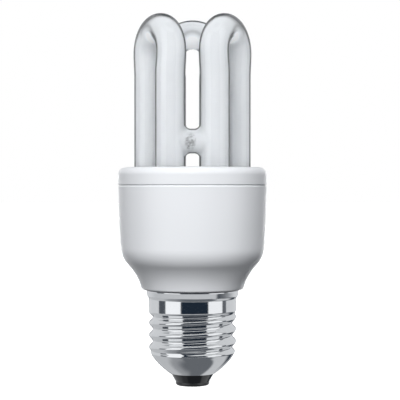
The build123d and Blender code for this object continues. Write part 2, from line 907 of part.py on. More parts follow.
def save_thermistor():
    """A dipped disc on edge, facing the lamp's axis."""
    x, y, _ = polar(thermistor_circle, thermistor_angle)
    disc = Cylinder(thermistor_radius, thermistor_thickness)
    disc = fillet(
        disc.edges().filter_by(GeomType.CIRCLE), thermistor_round_share * thermistor_thickness)
    middle = body_top - thermistor_radius
    disc = Pos(x, y, middle) * Rot(0, 0, thermistor_angle) * Rot(0, 90, 0) * disc
    save("thermistor", disc)
    step_x, step_y, _ = polar(thermistor_radius / 2, thermistor_angle + 90)
    pair = [lead(x + side * step_x, y + side * step_y, middle) for side in (-1, 1)]
    save("thermistor_leads", joined([wire - disc for wire in pair]))


def main():
    os.makedirs("parts", exist_ok=True)
    save("screw_shell", make_screw_shell())
    save("cap_insulator", make_insulator())
    save("centre_contact", make_contact())
    save("contact_solder", make_contact_solder())
    save("lower_housing", make_lower_housing())
    save("tube_holder", make_tube_holder())
    glass = make_discharge_tube()
    save("discharge_tube", glass)
    save("tube_cement", make_tube_cement())
    save("wire_posts", make_wire_posts())
    save("electrode_wires", make_electrode_wires(glass))
    save("contact_wire", make_contact_wire())
    save("shell_wire", make_shell_wire())
    save("choke_core_front", choke_place() * core_half(-1))
    save("choke_core_back", choke_place() * core_half(1))
    save("choke_bobbin", make_bobbin())
    save("choke_winding", make_choke_winding())
    save("choke_tape", make_choke_tape())
    save("choke_pins", joined(choke_pins()))
    save("electrolytic_can", make_can())
    save("electrolytic_bung", make_bung())
    save("electrolytic_leads", joined(can_leads()))
    save_diodes()
    save_resistors()
    save_fuse()
    save_film_capacitors()
    save_transistors()
    save("ring_core", make_ring_core())
    save("ring_windings", make_ring_windings())
    save_filter_choke()
    save_thermistor()
    save("circuit_board", make_board())
    save("solder_joints", make_solder())


if __name__ == "__main__":
    main()
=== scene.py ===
"""Compact fluorescent lamp: three bent glass tubes in a white moulded body on a screw cap.

Laid out as an add-on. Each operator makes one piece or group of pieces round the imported
frame, and main() calls them in order. All lengths are metres in the frame's own axes:
+Z runs from the cap to the tubes and -Y faces the camera.
"""

import math

import bpy
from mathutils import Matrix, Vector


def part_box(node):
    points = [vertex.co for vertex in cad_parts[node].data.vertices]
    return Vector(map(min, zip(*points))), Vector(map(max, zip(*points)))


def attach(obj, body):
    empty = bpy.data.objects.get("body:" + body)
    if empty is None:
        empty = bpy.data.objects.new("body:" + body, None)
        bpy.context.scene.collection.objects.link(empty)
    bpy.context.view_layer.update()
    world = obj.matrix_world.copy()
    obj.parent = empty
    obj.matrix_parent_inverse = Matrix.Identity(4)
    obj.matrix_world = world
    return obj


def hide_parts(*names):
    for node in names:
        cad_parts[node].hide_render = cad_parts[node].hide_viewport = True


bl_info = {
    "name": "Energy saving lamp",
    "version": (1, 0, 0),
    "blender": (4, 5, 0),
    "location": "3D View > Sidebar > Lamp",
    "description": "Dresses the packed lamp frame with its screw shell, finishes and studio",
    "category": "Object",
}

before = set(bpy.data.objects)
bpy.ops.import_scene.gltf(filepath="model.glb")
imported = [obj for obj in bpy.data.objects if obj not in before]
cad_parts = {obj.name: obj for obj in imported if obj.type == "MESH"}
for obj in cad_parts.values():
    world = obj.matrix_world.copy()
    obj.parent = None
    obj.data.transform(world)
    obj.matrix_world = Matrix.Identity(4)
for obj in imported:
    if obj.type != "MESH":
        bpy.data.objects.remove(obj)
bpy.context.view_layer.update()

MM = 0.001

# The image that the camera is set for
IMAGE_PIXELS = 400
AXIS_COLUMN = 192.5
HORIZON_ROW = 185.0
SENSOR_WIDTH = 36.0

# Panels that gloss shows: left and right edge round the lamp (0 is the camera's side), low
# and high edge above the horizon, all in degrees, then the edge's softness and the grey.
# A panel lies over those before it.
STUDIO_PANELS = (
    # Pale walls at both sides, each with a dark end straight behind the lamp
    (-182, -99, -15, 92, 3, 0.72),
    (99, 182, -15, 92, 3, 0.72),
    (-182, -166, -60, 60, 4, 0.10),
    (166, 182, -60, 60, 4, 0.10),
    # The table's pale front edge, the dark wall behind the camera and the ceiling over it
    (-104, 104, -32, -14, 2, 0.62),
    (-50, 55, -14, 54, 4, 0.016),
    (-60, 60, 54, 70, 3, 0.75),
    (-60, 60, 70, 92, 3, 0.06),
    # What faces that look down see: dark under the lamp, paler to the sides
    (-65, 65, -56, -34, 3, 0.02),
    (-182, 182, -92, -54, 4, 0.15),
    (80, 170, -57, -20, 3, 0.62),
    (-170, -50, -70, -34, 9, 0.34),
    (-170, -90, -54, -20, 7, 0.56),
    (66, 160, -32, -17, 5, 0.04),
    # The two softboxes and the dark gap beside each
    (-99, -76, -15, 12, 1, 0.09),
    (85, 99, -15, 12, 1, 0.14),
    (-75, -31, -16, 50, 1.5, 1.10),
    (42, 85, -16, 50, 1.5, 1.06),
)

# The grey room behind the panels and the soft light of the room, as (height, grey) from the
# lowest to the highest direction
ROOM_RAMP = ((0.0, 0.13), (0.03, 0.20), (0.12, 0.45), (0.3, 0.55), (1.0, 0.60))
SOFT_RAMP = ((0.0, 0.04), (0.45, 0.08), (1.0, 0.20))
# What gloss shows is cooler than grey: a factor and an addition for each colour
GLOSS_FACTOR = (1.0, 1.01, 1.02)
GLOSS_ADDED = (0.0, 0.010, 0.026)

# Area lights: name, angle round the lamp and above it in degrees, reach, width and height in
# metres, and power in watts. They aim at the lamp's middle.
LIGHTS = (
    ("left_softbox", -53, 2, 0.9, 0.70, 0.6, 0.6),
    ("right_softbox", 63, 2, 0.9, 0.68, 0.6, 0.5),
    ("key_softbox", -6, 34, 1.0, 0.6, 0.6, 13.5),
    ("left_rim", -158, -8, 0.9, 0.3, 0.6, 10.0),
    ("right_rim", 158, -8, 0.9, 0.3, 0.6, 12.0),
)
LAMP_MIDDLE = Vector((0, 0, 55 * MM))

# The painted light and shade of the bend hollows repeat round the axis with the bends. Each fold of
# the angle is centred on a bend.
FOLD_START = math.radians(-90)
FOLD_END = math.radians(30)

# The creased spot on the bridge that joins the front legs, with painted shade in its creases
PINCH_CENTRE = (-0.65 * MM, -14 * MM, 72.6 * MM)
PINCH_REACH = (2.0 * MM, 3.5 * MM, 3.0 * MM)

shell_low, shell_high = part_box("screw_shell")


def colour_input(label, words, value):
    return bpy.props.FloatVectorProperty(
        name=label, description=words, subtype="COLOR", size=3, min=0, max=1, default=value)


def length_input(label, words, value):
    return bpy.props.FloatProperty(
        name=label, description=words, unit="LENGTH", min=0, precision=5, default=value)


def share_input(label, words, value, high=1.0):
    return bpy.props.FloatProperty(
        name=label, description=words, subtype="FACTOR", min=0, max=high, default=value)


class LampGlassSettings(bpy.types.PropertyGroup):
    """What the tubes and the powder in them are made of"""
    coating: colour_input("Coating", "Colour of the white powder inside the glass",
                          (0.80, 0.812, 0.83))
    bleed: length_input("Bleed", "How far light spreads in the powder", 3.0 * MM)
    # The outline settings set a painted dark outline: the glass's colour is darkened at a steep
    # slant, a painted shade for the edge of a thick wall
    painted_outline_start: share_input("Outline start", "Slant at which the wall begins to darken", 0.46)
    painted_outline_full: share_input("Outline full", "Slant at which the wall is darkest", 0.64)
    painted_outline_light: share_input("Outline light", "Light that the darkest wall lets through", 0.02)
    pinch_depth: length_input("Pinch depth", "Depth of the creases in the joining bridge", 0.5 * MM)
    # Painted glow: the powder emits a little light all over, standing in for light passed on from
    # behind
    painted_glow: share_input("Glow", "Light that the hollow tube passes on from behind", 0.05)
    # Painted highlight: extra emission in each bend's hollow. The hollow settings below also place
    # a painted dark arc above it
    painted_hollow_glow: share_input("Hollow glow", "Light gathered in the hollow of each bend", 0.40)
    hollow_height: length_input("Hollow height", "Height of the middle of the hollows",
                                103.3 * MM)
    hollow_width: length_input("Hollow width", "Half width of a hollow", 3.0 * MM)
    hollow_rise: length_input("Hollow rise", "Half height of a hollow", 2.9 * MM)
    wall: length_input("Glass wall", "Thickness of the clear glass over the powder", 0.75 * MM)


class LampMouldingSettings(bpy.types.PropertyGroup):
    """The skin of the two white mouldings"""
    plastic: colour_input("Plastic", "Colour of both white mouldings", (0.72, 0.735, 0.76))
    roughness: share_input("Roughness", "Roughness of the moulded skin", 0.36)
    sheen: share_input("Sheen", "How bright the skin looks at a slant", 0.6)
    grain: length_input("Grain", "Size of the fine spark grain of the mould", 0.25 * MM)


class LampCapSettings(bpy.types.PropertyGroup):
    """Sizes and finishes of the screw cap"""
    metal: colour_input("Metal", "Colour of the nickel plating", (0.78, 0.785, 0.79))
    roughness: share_input("Roughness", "Roughness of the nickel plating", 0.09)
    wall: length_input("Wall", "Thickness of the rolled sheet", 0.3 * MM)
    pitch: length_input("Pitch", "Rise of the thread in one turn", 3.629 * MM)
    depth: length_input("Depth", "Depth of the rolled thread", 1.15 * MM)
    cone: length_input("Cone", "Height of the plain cone below the thread", 5.7 * MM)
    thread: length_input("Thread", "Height of the threaded part", 13.3 * MM)
    foot_radius: length_input("Foot radius", "Radius at the foot of the cone", 6.75 * MM)
    cone_radius: length_input("Cone radius", "Radius at the head of the cone", 12.35 * MM)
    crest_radius: length_input("Crest radius", "Radius of the thread's crests", 13.1 * MM)
    crest_height: length_input("Crest height", "Height of a crest on the +X side", 15.0 * MM)
    runout: share_input("Runout", "Turns in which the thread fades out at each end", 0.55, 2.0)
    cone_bulge: length_input("Cone bulge", "How far the cone swells at half height", 0.57 * MM)
    lip_draft: length_input("Lip draft", "How far the lip narrows towards its foot", 0.5 * MM)
    lip_round: length_input("Lip round", "Radius of the lip's upper edge", 0.6 * MM)
    band: length_input("Band", "Height of the plain band above the thread", 3.4 * MM)
    glass: colour_input("Insulator", "Colour of the black glass", (0.003, 0.0035, 0.005))


class LampStudioSettings(bpy.types.PropertyGroup):
    """The camera and the floor"""
    distance: length_input("Distance", "From the lamp's axis to the camera", 393 * MM)
    camera_height: length_input("Camera height", "From the floor to the camera", 60 * MM)
    focal_pixels: bpy.props.FloatProperty(
        name="Focal length", description="Focal length in pixels of a 400 pixel image",
        min=1, default=1309.0)
    floor_size: length_input("Floor", "Side of the square floor", 8.0)
    floor_tone: share_input("Floor tone", "Brightness of the pale floor", 0.9)


def settings(name):
    return getattr(bpy.context.scene, name)


# Node groups and finishes

def group_math(tree, operation, *values):
    """A Math node fed by sockets or numbers. Returns its output."""
    node = tree.nodes.new("ShaderNodeMath")
    node.operation = operation
    for k, value in enumerate(values):
        if isinstance(value, (int, float)):
            node.inputs[k].default_value = value
        else:
            tree.links.new(value, node.inputs[k])
    return node.outputs[0]


def vector_math(tree, operation, *values):
    """A Vector Math node fed by sockets or vectors. Returns the node."""
    node = tree.nodes.new("ShaderNodeVectorMath")
    node.operation = operation
    for k, value in enumerate(values):
        if isinstance(value, tuple):
            node.inputs[k].default_value = value
        else:
            tree.links.new(value, node.inputs[k])
    return node


def scaled(tree, vector, share):
    """A vector or colour times a number. Returns the output."""
    node = vector_math(tree, "SCALE", vector)
    tree.links.new(share, node.inputs["Scale"])
    return node.outputs[0]


def map_range(tree, value, from_min, from_max, to_min=0.0, to_max=1.0, smooth=False):
    """A Map Range node. The value and the range it comes from may be sockets."""
    node = tree.nodes.new("ShaderNodeMapRange")
    if smooth:
        node.interpolation_type = "SMOOTHSTEP"
    for label, item in (("Value", value), ("From Min", from_min), ("From Max", from_max),
                        ("To Min", to_min), ("To Max", to_max)):
        if isinstance(item, (int, float)):
            node.inputs[label].default_value = item
        else:
            tree.links.new(item, node.inputs[label])
    return node.outputs["Result"]


def noise_at(tree, place, scale, detail, distortion=0.0):
    """A noise texture on a vector. The scale may be a socket. Returns its height."""
    node = tree.nodes.new("ShaderNodeTexNoise")
    node.inputs["Detail"].default_value = detail
    node.inputs["Distortion"].default_value = distortion
    tree.links.new(place, node.inputs["Vector"])
    if isinstance(scale, float):
        node.inputs["Scale"].default_value = scale
    else:
        tree.links.new(scale, node.inputs["Scale"])
    return node.outputs["Fac"]


def object_place(tree):
    return tree.nodes.new("ShaderNodeTexCoord").outputs["Object"]


def length_of(tree, across, up):
    """The distance whose two parts, at a right angle, are across and up."""
    return group_math(tree, "SQRT", group_math(
        tree, "ADD", group_math(tree, "MULTIPLY", across, across),
        group_math(tree, "MULTIPLY", up, up)))


def between(tree, value, low, high, soft):
    """1 where the value lies between low and high, with soft ends."""
    ends = [map_range(tree, value, edge - soft, edge + soft, smooth=True)
            for edge in (low, high)]
    return group_math(tree, "SUBTRACT", *ends)


def new_tree(kind, name, inputs, outputs):
    """An empty node tree with named sockets, and its input and output nodes."""
    tree = bpy.data.node_groups.new(name, kind)
    for label, socket_type, value in inputs:
        socket = tree.interface.new_socket(name=label, in_out="INPUT", socket_type=socket_type)
        if value is not None:
            socket.default_value = value
    for label, socket_type in outputs:
        tree.interface.new_socket(name=label, in_out="OUTPUT", socket_type=socket_type)
    return tree, tree.nodes.new("NodeGroupInput"), tree.nodes.new("NodeGroupOutput")


def make_uneven_tone():
    """Large soft patches and fine specks: a colour and a roughness that drift a little."""
    group, given, out = new_tree(
        "ShaderNodeTree", "uneven_tone",
        [("Colour", "NodeSocketColor", (0.8, 0.8, 0.8, 1)),
         ("Drift", "NodeSocketFloat", 0.04),
         ("Patch Scale", "NodeSocketFloat", 120.0),
         ("Speck Scale", "NodeSocketFloat", 1500.0),
         ("Roughness", "NodeSocketFloat", 0.4),
         ("Roughness Drift", "NodeSocketFloat", 0.05)],
        [("Colour", "NodeSocketColor"), ("Roughness", "NodeSocketFloat")])
    links = group.links
    place = object_place(group)
    speck_share = 0.3
    patches = noise_at(group, place, given.outputs["Patch Scale"], detail=3)
    specks = noise_at(group, place, given.outputs["Speck Scale"], detail=1)
    both = group_math(group, "MULTIPLY_ADD", specks, speck_share, patches)
    centred = group_math(group, "SUBTRACT", both, (1 + speck_share) / 2)
    gain = group_math(group, "MULTIPLY_ADD", centred, given.outputs["Drift"], 1.0)
    links.new(scaled(group, given.outputs["Colour"], gain), out.inputs["Colour"])
    rough = group_math(group, "MULTIPLY_ADD", centred, given.outputs["Roughness Drift"],
                       given.outputs["Roughness"])
    rough.node.use_clamp = True
    links.new(rough, out.inputs["Roughness"])
    return group


def make_fine_grain():
    """Height of a fine even grain, as a spark-eroded mould or a plated sheet leaves it."""
    group, given, out = new_tree(
        "ShaderNodeTree", "fine_grain",
        [("Scale", "NodeSocketFloat", 3000.0), ("Stretch", "NodeSocketVector", (1, 1, 1))],
        [("Height", "NodeSocketFloat")])
    place = vector_math(group, "MULTIPLY", object_place(group), given.outputs["Stretch"])
    grain = noise_at(group, place.outputs[0], given.outputs["Scale"], detail=2)
    group.links.new(grain, out.inputs["Height"])
    return group


def make_pinch_creases_and_shade():
    """Creases where the bridge was pinched shut: a height for the bump, and a painted shade in the
    crease valleys that is 1 elsewhere.
    """
    group, given, out = new_tree(
        "ShaderNodeTree", "pinch_creases_and_shade",
        [("Centre", "NodeSocketVector", (0, 0, 0)), ("Reach", "NodeSocketVector", (1, 1, 1))],
        [("Height", "NodeSocketFloat"), ("Shade", "NodeSocketFloat")])
    away = vector_math(group, "SUBTRACT", object_place(group), given.outputs["Centre"])
    share = vector_math(group, "DIVIDE", away.outputs[0], given.outputs["Reach"]).outputs[0]
    length = vector_math(group, "LENGTH", share).outputs["Value"]
    outer_edge, full_edge = 1.0, 0.4
    near = map_range(group, length, outer_edge, full_edge, smooth=True)
    creases = noise_at(group, share, scale=5.0, detail=3, distortion=1.5)
    group.links.new(group_math(group, "MULTIPLY", near, creases), out.inputs["Height"])
    # Painted shade: the valleys between the ridges are darkened
    valley, ridge, darkest = 0.42, 0.58, 0.75
    dark = map_range(group, creases, valley, ridge, 0.0, darkest)
    painted_crease_shade = group_math(group, "MULTIPLY", near, dark)
    group.links.new(group_math(group, "SUBTRACT", 1.0, painted_crease_shade), out.inputs["Shade"])
    return group


def make_painted_bend_light():
    """Painted light and shade in the hollow of each tight bend: a painted highlight in the dimple,
    with a painted dark arc above it.
    """
    group, given, out = new_tree(
        "ShaderNodeTree", "painted_bend_light",
        [("Height", "NodeSocketFloat", 0.1), ("Width", "NodeSocketFloat", 0.002),
         ("Rise", "NodeSocketFloat", 0.002)],
        [("Light", "NodeSocketFloat"), ("Shade", "NodeSocketFloat")])
    links = group.links
    split = group.nodes.new("ShaderNodeSeparateXYZ")
    links.new(object_place(group), split.inputs[0])
    x, y, z = split.outputs
    turn = group_math(group, "ARCTAN2", y, x)
    folded = group_math(group, "WRAP", turn, FOLD_END, FOLD_START)
    folded = group_math(group, "SUBTRACT", folded, (FOLD_START + FOLD_END) / 2)
    reach = length_of(group, x, y)
    side = group_math(group, "DIVIDE", group_math(
        group, "MULTIPLY", reach, group_math(group, "SINE", folded)), given.outputs["Width"])
    up = group_math(group, "DIVIDE", group_math(
        group, "SUBTRACT", z, given.outputs["Height"]), given.outputs["Rise"])
    away = length_of(group, side, up)
    # Distances from here on are shares of the hollow's half width and half height
    # The painted highlight in the dimple
    dimple_edge, dimple_soft = 0.75, 0.35
    links.new(between(group, away, -1.0, dimple_edge, dimple_soft), out.inputs["Light"])
    # The painted dark arc above the dimple, a painted shade
    arc_start, arc_end, arc_soft = 1.05, 1.4, 0.2
    arc_foot, arc_head, foot_soft = 0.3, 4.0, 0.4
    arc = group_math(group, "MULTIPLY", between(group, away, arc_start, arc_end, arc_soft),
                     between(group, up, arc_foot, arc_head, foot_soft))
    arc_shade = 0.45
    links.new(group_math(group, "MULTIPLY_ADD", arc, -arc_shade, 1.0), out.inputs["Shade"])
    return group


def new_material(name):
    material = bpy.data.materials.new(name)
    material.use_nodes = True
    return material, material.node_tree, material.node_tree.nodes["Principled BSDF"]


def add_group(tree, group_name, **values):
    """Places a shared group in a material, and builds it the first time."""
    makers = {"uneven_tone": make_uneven_tone, "fine_grain": make_fine_grain,
              "pinch_creases_and_shade": make_pinch_creases_and_shade, "painted_bend_light": make_painted_bend_light}
    node = tree.nodes.new("ShaderNodeGroup")
    node.node_tree = bpy.data.node_groups.get(group_name) or makers[group_name]()
    for label, value in values.items():
        node.inputs[label.replace("_", " ")].default_value = value
    return node


def add_tone(tree, shader, colour, drift, roughness, roughness_drift, patch=120.0):
    """Feeds a drifting colour and roughness to the shader. Returns the group's node."""
    node = add_group(tree, "uneven_tone", Colour=(*colour, 1), Drift=drift, Patch_Scale=patch,
                     Roughness=roughness, Roughness_Drift=roughness_drift)
    tree.links.new(node.outputs["Colour"], shader.inputs["Base Color"])
    tree.links.new(node.outputs["Roughness"], shader.inputs["Roughness"])
    return node


def add_bump(tree, shader, height, distance):
    bump = tree.nodes.new("ShaderNodeBump")
    bump.inputs["Strength"].default_value = 1.0
    bump.inputs["Distance"].default_value = distance
    tree.links.new(height, bump.inputs["Height"])
    tree.links.new(bump.outputs["Normal"], shader.inputs["Normal"])


def add_grain(tree, shader, scale, distance, stretch=(1, 1, 1)):
    node = add_group(tree, "fine_grain", Scale=scale, Stretch=stretch)
    add_bump(tree, shader, node.outputs["Height"], distance)


def make_finish(name, colour, roughness, metallic=0.0, drift=0.12, roughness_drift=0.1,
                coat=0.0, grain=None, patch=120.0):
    """A finish for a small part: a drifting tone, and a fine grain where it has one."""
    material, tree, shader = new_material(name)
    add_tone(tree, shader, colour, drift, roughness, roughness_drift, patch)
    shader.inputs["Metallic"].default_value = metallic
    shader.inputs["Coat Weight"].default_value = coat
    if grain:
        scale, distance = grain
        add_grain(tree, shader, scale, distance)
    return material


def ramp_of(tree, value, stops):
    """A colour ramp from (position, grey) stops, a little cooler than grey."""
    node = tree.nodes.new("ShaderNodeValToRGB")
    ramp = node.color_ramp
    while len(ramp.elements) < len(stops):
        ramp.elements.new(1.0)
    for element, (position, grey) in zip(ramp.elements, stops):
        element.position = position
        green = grey * 1.02 + 0.002
        blue = grey * 1.05 + 0.004
        element.color = (grey, green, blue, 1)
    tree.links.new(value, node.inputs["Fac"])
    return node.outputs["Color"]


def dress(node, material):
    """Gives a CAD node its finish and leaves its mesh alone."""
    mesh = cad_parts[node].data
    mesh.materials.clear()
    mesh.materials.append(material)


# Shape trees

def set_input(modifier, label, value):
    """Sets a modifier's input by the identifier of the socket with that label."""
    for item in modifier.node_group.interface.items_tree:
        if item.item_type == "SOCKET" and item.in_out == "INPUT" and item.name == label:
            modifier[item.identifier] = value
            return
    raise RuntimeError(f"{modifier.node_group.name} has no input named {label}")


def end_tree(tree, geometry, given, out):
    """Smooth shading, real geometry and the given material, as every tree ends."""
    smooth = tree.nodes.new("GeometryNodeSetShadeSmooth")
    tree.links.new(geometry, smooth.inputs["Geometry"])
    real = tree.nodes.new("GeometryNodeRealizeInstances")
    tree.links.new(smooth.outputs[0], real.inputs[0])
    finish = tree.nodes.new("GeometryNodeSetMaterial")
    tree.links.new(real.outputs[0], finish.inputs["Geometry"])
    tree.links.new(given.outputs["Material"], finish.inputs["Material"])
    tree.links.new(finish.outputs[0], out.inputs["Geometry"])


def plain_mesh(name, tree, values):
    """Evaluates a shape tree on an empty mesh and keeps the result as a plain mesh."""
    maker = bpy.data.objects.new(name, bpy.data.meshes.new(name))
    bpy.context.scene.collection.objects.link(maker)
    modifier = maker.modifiers.new("shape", "NODES")
    modifier.node_group = tree
    for label, value in values.items():
        set_input(modifier, label, value)
    graph = bpy.context.evaluated_depsgraph_get()
    mesh = bpy.data.meshes.new_from_object(maker.evaluated_get(graph))
    maker.modifiers.remove(modifier)
    maker.data = mesh
    mesh.name = name
    return maker


# The glass

def make_powder_tree():
    """The powder's surface: the glass's own surface drawn in by the thickness of its wall."""
    tree, given, out = new_tree(
        "GeometryNodeTree", "powder_layer",
        [("Glass", "NodeSocketObject", None), ("Wall", "NodeSocketFloat", 0.0),
         ("Material", "NodeSocketMaterial", None)],
        [("Geometry", "NodeSocketGeometry")])
    nodes, links = tree.nodes, tree.links
    glass = nodes.new("GeometryNodeObjectInfo")
    links.new(given.outputs["Glass"], glass.inputs["Object"])
    merged = nodes.new("GeometryNodeMergeByDistance")
    merged.inputs["Distance"].default_value = 0.001 * MM
    links.new(glass.outputs["Geometry"], merged.inputs["Geometry"])
    normal = nodes.new("GeometryNodeInputNormal")
    inward = scaled(tree, normal.outputs[0],
                    group_math(tree, "MULTIPLY", given.outputs["Wall"], -1))
    draw = nodes.new("GeometryNodeSetPosition")
    links.new(merged.outputs[0], draw.inputs["Geometry"])
    links.new(inward, draw.inputs["Offset"])
    end_tree(tree, draw.outputs[0], given, out)
    return tree


def add_painted_bend_light(tree):
    """The painted light and shade of the bend hollows, at the place and size that the settings
    give.
    """
    own = settings("lamp_glass")
    return add_group(tree, "painted_bend_light", Height=own.hollow_height, Width=own.hollow_width,
                     Rise=own.hollow_rise)


def make_powder():
    """White powder that spreads light, with a painted glow all over and a brighter painted glow in
    each bend's hollow, and painted shade in the creases of the bridge.
    """
    own = settings("lamp_glass")
    material, tree, shader = new_material("phosphor_powder")
    tone = add_tone(tree, shader, own.coating, drift=0.05, roughness=0.7,
                    roughness_drift=0.1, patch=90.0)
    mark = add_group(tree, "pinch_creases_and_shade", Centre=PINCH_CENTRE, Reach=PINCH_REACH)
    # The painted shade of the bridge's creases darkens the powder's colour and its glow
    shaded = scaled(tree, tone.outputs["Colour"], mark.outputs["Shade"])
    tree.links.new(shaded, shader.inputs["Base Color"])
    tree.links.new(shaded, shader.inputs["Emission Color"])
    # Painted glow: emission over the whole powder, with a painted highlight added in each bend's
    # hollow
    hollow = add_painted_bend_light(tree)
    tree.links.new(group_math(tree, "MULTIPLY_ADD", hollow.outputs["Light"], own.painted_hollow_glow,
                              own.painted_glow), shader.inputs["Emission Strength"])
    shader.inputs["Specular IOR Level"].default_value = 0.2
    shader.inputs["Subsurface Weight"].default_value = 0.6
    shader.inputs["Subsurface Radius"].default_value = (1.0, 1.0, 1.0)
    shader.inputs["Subsurface Scale"].default_value = own.bleed
    return material


def make_clear_glass():
    """Clear glass with a painted dark outline: its colour darkens at a steep slant, standing in for
    the shade at the edge of a thick wall.
    """
    own = settings("lamp_glass")
    material, tree, shader = new_material("clear_glass")
    tone = add_tone(tree, shader, (0.97, 0.98, 0.98), drift=0.02, roughness=0.0,
                    roughness_drift=0.02, patch=60.0)
    shader.inputs["Transmission Weight"].default_value = 1.0
    shader.inputs["IOR"].default_value = 1.5
    shader.inputs["Specular IOR Level"].default_value = 1.0
    # Painted dark outline: the glass's colour is darkened by the slant of the surface
    slant = tree.nodes.new("ShaderNodeLayerWeight")
    slant.inputs["Blend"].default_value = 0.5
    painted_edge_shade = map_range(tree, slant.outputs["Facing"], own.painted_outline_start, own.painted_outline_full,
                    1.0, own.painted_outline_light, smooth=True)
    # The hollows' painted highlight lifts the painted dark outline, and their painted dark arc
    # darkens the glass's colour
    hollow = add_painted_bend_light(tree)
    wall = group_math(tree, "MAXIMUM", painted_edge_shade, hollow.outputs["Light"])
    wall = group_math(tree, "MULTIPLY", wall, hollow.outputs["Shade"])
    tree.links.new(scaled(tree, tone.outputs["Colour"], wall), shader.inputs["Base Color"])
    mark = add_group(tree, "pinch_creases_and_shade", Centre=PINCH_CENTRE, Reach=PINCH_REACH)
    add_bump(tree, shader, mark.outputs["Height"], own.pinch_depth)
    return material


class LAMP_OT_glass(bpy.types.Operator):
    """Dress the sealed tubes in clear glass and lay the white powder behind it"""
    bl_idname = "lamp.glass"
    bl_label = "Glass tubes"

    def execute(self, context):
        own = settings("lamp_glass")
        dress("discharge_tube", make_clear_glass())
        powder = plain_mesh("powder_layer", make_powder_tree(), {
            "Glass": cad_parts["discharge_tube"], "Wall": own.wall,
            "Material": make_powder()})
        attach(powder, "root")
        dress("tube_cement", make_finish("cement", (0.62, 0.60, 0.55), 0.9,
                                         grain=(2500, 0.05 * MM)))
        return {"FINISHED"}


# The mouldings

class LAMP_OT_mouldings(bpy.types.Operator):
    """Dress the tube holder and the lower housing in satin white plastic"""
    bl_idname = "lamp.mouldings"
    bl_label = "Mouldings"

    def execute(self, context):
        own = settings("lamp_mouldings")
        material, tree, shader = new_material("white_housing")
        add_tone(tree, shader, own.plastic, drift=0.03, roughness=own.roughness,
                 roughness_drift=0.06, patch=60.0)
        add_grain(tree, shader, scale=1 / own.grain, distance=0.004 * MM)
        shader.inputs["Sheen Weight"].default_value = own.sheen
        shader.inputs["Sheen Roughness"].default_value = 0.25
        dress("lower_housing", material)
        dress("tube_holder", material)
        return {"FINISHED"}


# The cap

